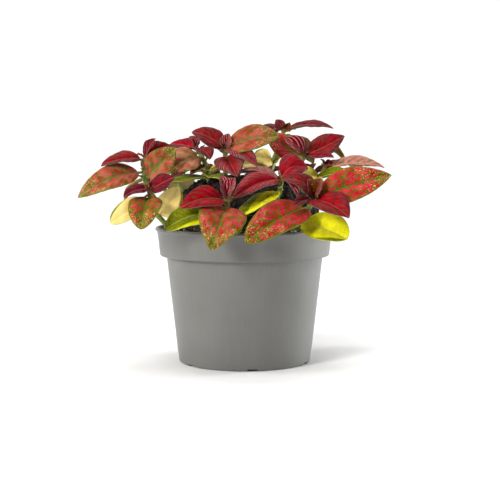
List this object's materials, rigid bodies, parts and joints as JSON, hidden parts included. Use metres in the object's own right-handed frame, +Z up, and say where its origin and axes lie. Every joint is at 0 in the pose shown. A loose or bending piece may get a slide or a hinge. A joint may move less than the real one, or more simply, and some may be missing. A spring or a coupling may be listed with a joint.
{
  "type": "potted polka dot plant",
  "caption": "Small pink and green spotted foliage plant growing in dark compost in a round grey nursery pot with a plain band under the rim.",
  "frame": {"origin": "centre of the pot's flat underside", "axes": "+Z up the pot's axis, -Y towards the viewer of the picture, +X to the viewer's right"},
  "size_m": [0.1014, 0.0907, 0.0819],
  "materials": {
    "pot_plastic": "satin",
    "compost": "matte",
    "stem_green": "satin",
    "leaf_red": "satin"
  },
  "bodies": {
    "root": {"pot": "pot_plastic", "soil": "compost", "stem_left": "stem_green", "crown_left": "leaf_red", "stem_front_left": "stem_green", "crown_front_left": "leaf_red", "stem_mid_left": "stem_green", "crown_mid_left": "leaf_red", "stem_centre": "stem_green", "crown_centre": "leaf_red", "stem_back_top": "stem_green", "crown_back_top": "leaf_red", "stem_mid_right": "stem_green", "crown_mid_right": "leaf_red", "stem_right": "stem_green", "crown_right": "leaf_red", "stem_front_right": "stem_green", "crown_front_right": "leaf_red", "stem_inner_right": "stem_green", "crown_inner_right": "leaf_red", "stem_front": "stem_green", "crown_front": "leaf_red", "stem_back_left": "stem_green", "crown_back_left": "leaf_red", "stem_back": "stem_green", "crown_back": "leaf_red", "stem_back_right": "stem_green", "crown_back_right": "leaf_red", "stem_rear_left": "stem_green", "crown_rear_left": "leaf_red", "stem_rear": "stem_green", "crown_rear": "leaf_red", "stem_flank_left": "stem_green", "crown_flank_left": "leaf_red"}
  },
  "joints": []
}
